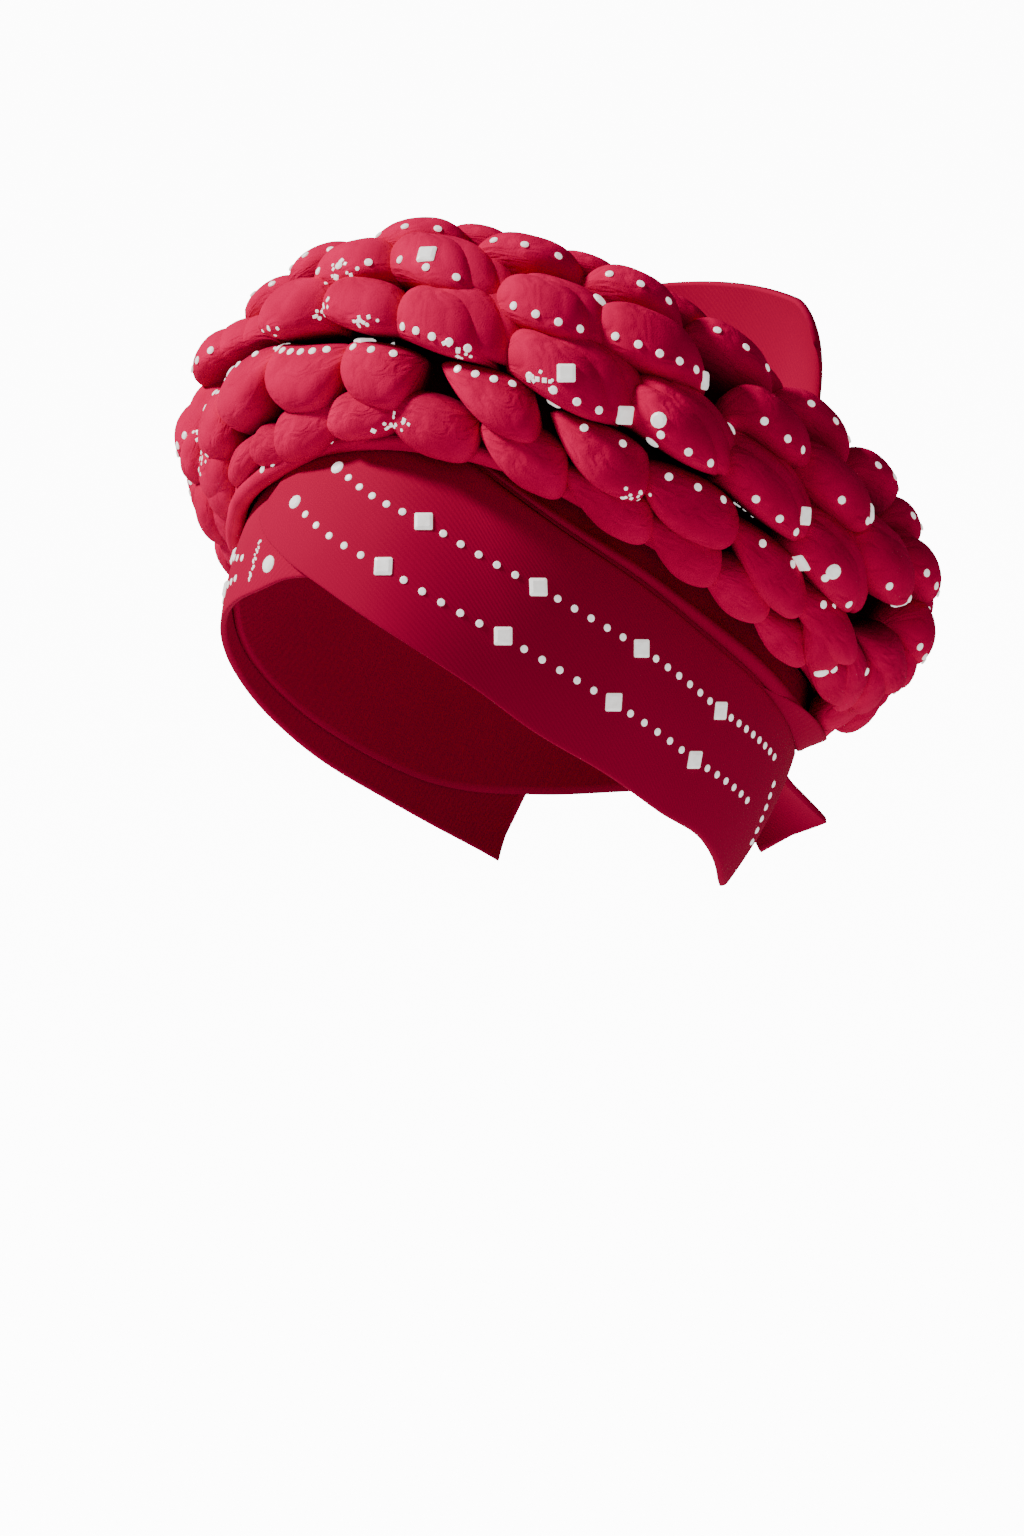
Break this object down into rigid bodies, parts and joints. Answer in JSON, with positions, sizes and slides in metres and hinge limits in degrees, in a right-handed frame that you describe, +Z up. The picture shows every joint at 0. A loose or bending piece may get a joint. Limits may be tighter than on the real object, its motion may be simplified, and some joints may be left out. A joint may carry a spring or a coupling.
{
  "type": "pleated turban",
  "caption": "Ready-made crimson head tie: crossed front bands, side wrap, a tilted halo of padded honeycomb puffs, back flap and pointed tail, with small clear stones.",
  "frame": {"origin": "inside top of the fitted cap, where it meets the top of the head", "axes": "+Z up, -Y to the wearer's face, +X to the wearer's left"},
  "size_m": [0.2352, 0.2272, 0.2326],
  "materials": {
    "crimson_crepe": "matte",
    "clear_stone": "cut, foil-backed"
  },
  "bodies": {
    "root": {"back_fan": "crimson_crepe", "back_tail": "crimson_crepe", "front_band_left": "crimson_crepe", "front_band_right": "crimson_crepe", "inner_cap": "crimson_crepe", "puff_crown": "crimson_crepe", "side_wrap": "crimson_crepe", "stone_band_left_1": "clear_stone", "stone_band_left_2": "clear_stone", "stone_band_left_3": "clear_stone", "stone_band_left_4": "clear_stone", "stone_band_left_5": "clear_stone", "stone_band_left_6": "clear_stone", "stone_band_left_7": "clear_stone", "stone_band_left_8": "clear_stone", "stone_band_right_10": "clear_stone", "stone_band_right_11": "clear_stone", "stone_band_right_12": "clear_stone", "stone_band_right_13": "clear_stone", "stone_band_right_14": "clear_stone", "stone_band_right_15": "clear_stone", "stone_band_right_16": "clear_stone", "stone_band_right_9": "clear_stone", "stone_band_right_first": "clear_stone", "stone_band_tip_lower": "clear_stone", "stone_band_tip_upper": "clear_stone", "stone_crown_round_10": "clear_stone", "stone_crown_round_11": "clear_stone", "stone_crown_round_12": "clear_stone", "stone_crown_round_13": "clear_stone", "stone_crown_round_14": "clear_stone", "stone_crown_round_15": "clear_stone", "stone_crown_round_16": "clear_stone", "stone_crown_round_17": "clear_stone", "stone_crown_round_18": "clear_stone", "stone_crown_round_19": "clear_stone", "stone_crown_round_8": "clear_stone", "stone_crown_round_9": "clear_stone", "stone_crown_square_1": "clear_stone", "stone_crown_square_2": "clear_stone", "stone_crown_square_3": "clear_stone", "stone_crown_square_4": "clear_stone", "stone_crown_square_5": "clear_stone", "stone_crown_square_6": "clear_stone", "stone_crown_square_7": "clear_stone"}
  },
  "joints": []
}
